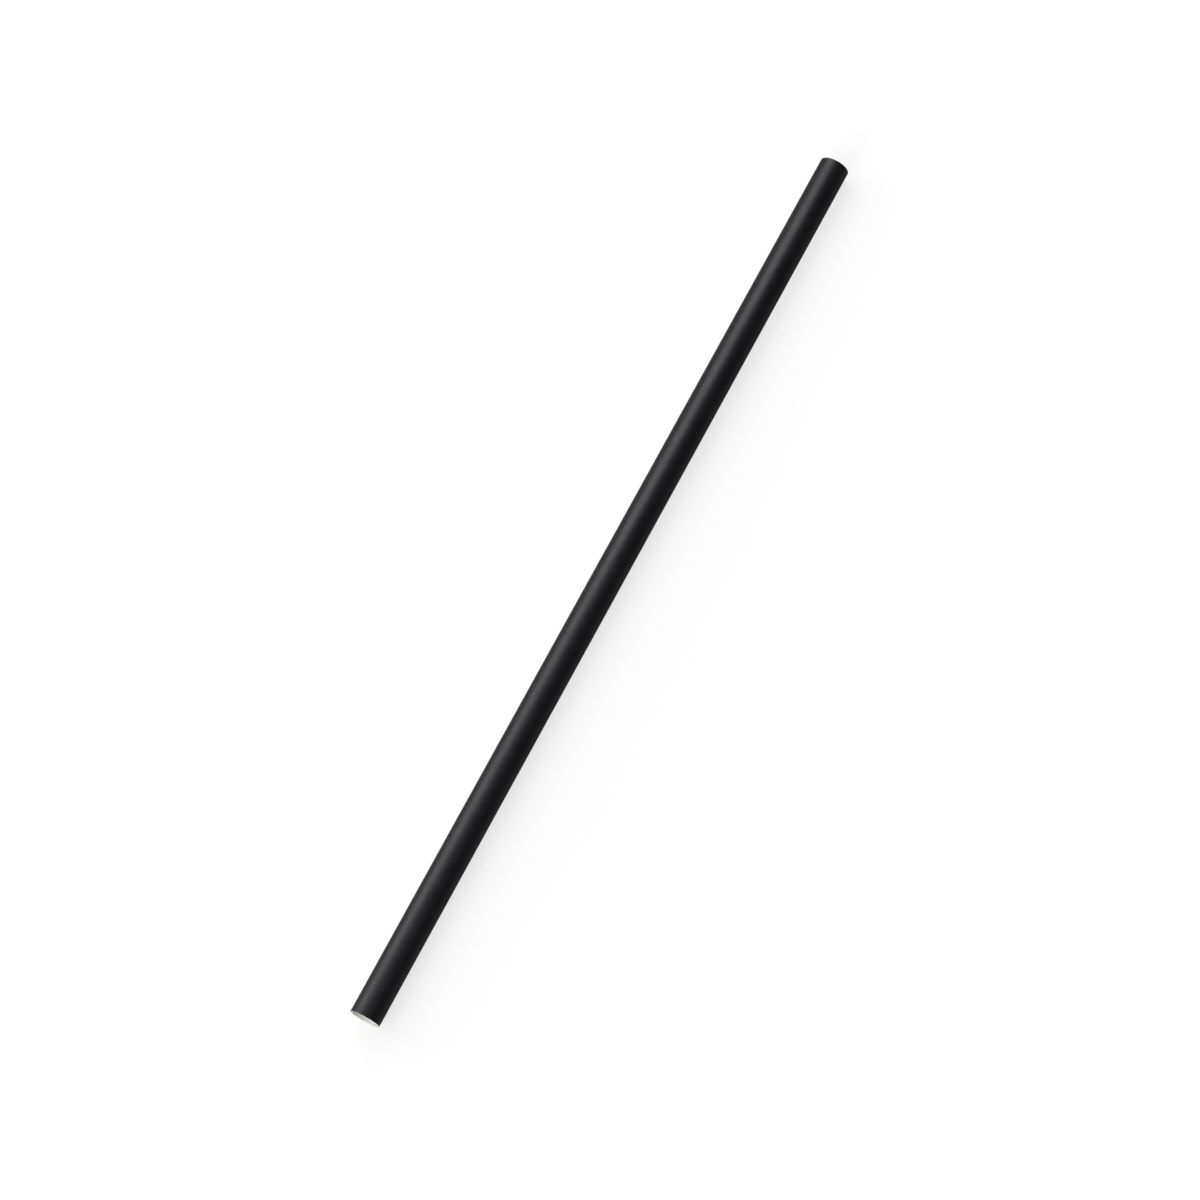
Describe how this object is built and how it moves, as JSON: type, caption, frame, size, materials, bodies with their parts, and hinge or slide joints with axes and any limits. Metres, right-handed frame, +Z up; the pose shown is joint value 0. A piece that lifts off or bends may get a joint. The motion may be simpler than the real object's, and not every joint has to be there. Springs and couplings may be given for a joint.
{
  "type": "paper drinking straw",
  "caption": "Straight paper drinking straw, spiral-wound from strips of paper: black outside, pale inside, open right through, with both ends cut square.",
  "frame": {"origin": "on the surface that the straw lies on, under the middle of its length", "axes": "+X along the straw towards the end that is the upper right one in the picture, +Z up, +Y across the straw"},
  "size_m": [0.197, 0.0062, 0.0061],
  "materials": {
    "lining_paper": "uncoated pale paper with a faint warm tint",
    "middle_paper": "uncoated pale paper, seen only as part of the cut edge",
    "black_paper": "satin-matt black paper, pale only where its edges are cut"
  },
  "bodies": {
    "root": {"lining_ply": "lining_paper", "middle_ply": "middle_paper", "cover_ply": "black_paper"}
  },
  "joints": []
}
